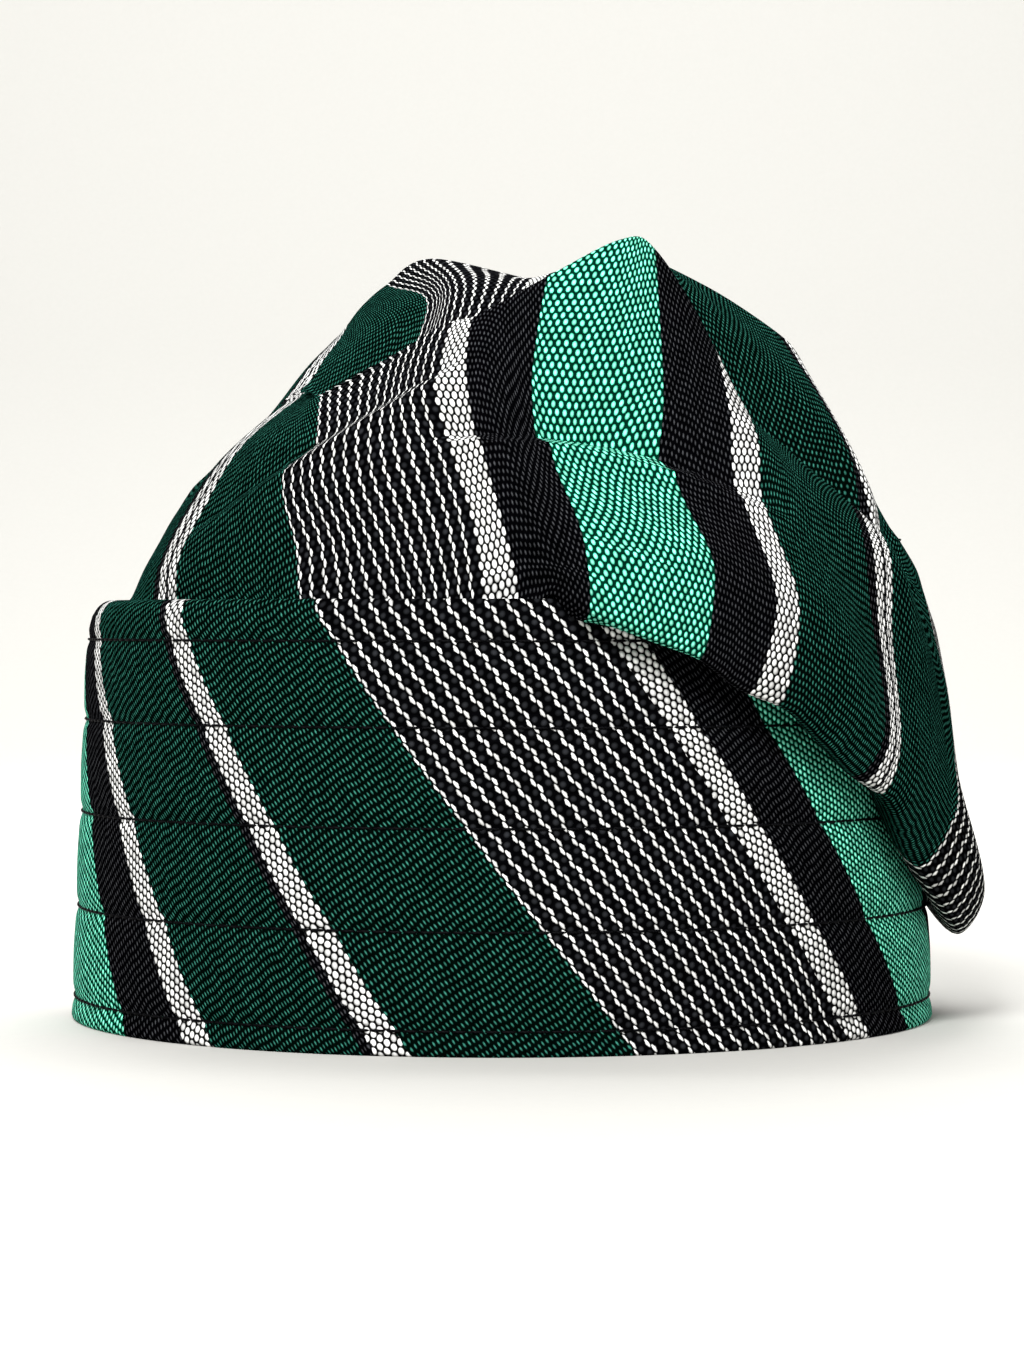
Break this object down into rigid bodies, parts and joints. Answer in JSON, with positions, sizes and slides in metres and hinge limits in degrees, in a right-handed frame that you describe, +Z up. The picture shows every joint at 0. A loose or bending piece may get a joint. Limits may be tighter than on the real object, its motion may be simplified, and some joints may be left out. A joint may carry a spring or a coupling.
{
  "type": "fila cap",
  "caption": "Soft woven cap with a stiff quilted oval band and a folded crown of striped cloth that leans and hangs over the band on one side.",
  "frame": {"origin": "on the floor plane under the middle of the cap's outline", "axes": "+Z up; -Y towards the cap's front; +X towards the side where the crown hangs over the band"},
  "size_m": [0.1968, 0.2036, 0.1646],
  "materials": {
    "band_cloth": "striped warp-faced plain weave over a stiffener, sewn through in rows",
    "crown_cloth": "striped warp-faced plain weave, soft"
  },
  "bodies": {
    "root": {"band": "band_cloth", "crown": "crown_cloth"}
  },
  "joints": []
}
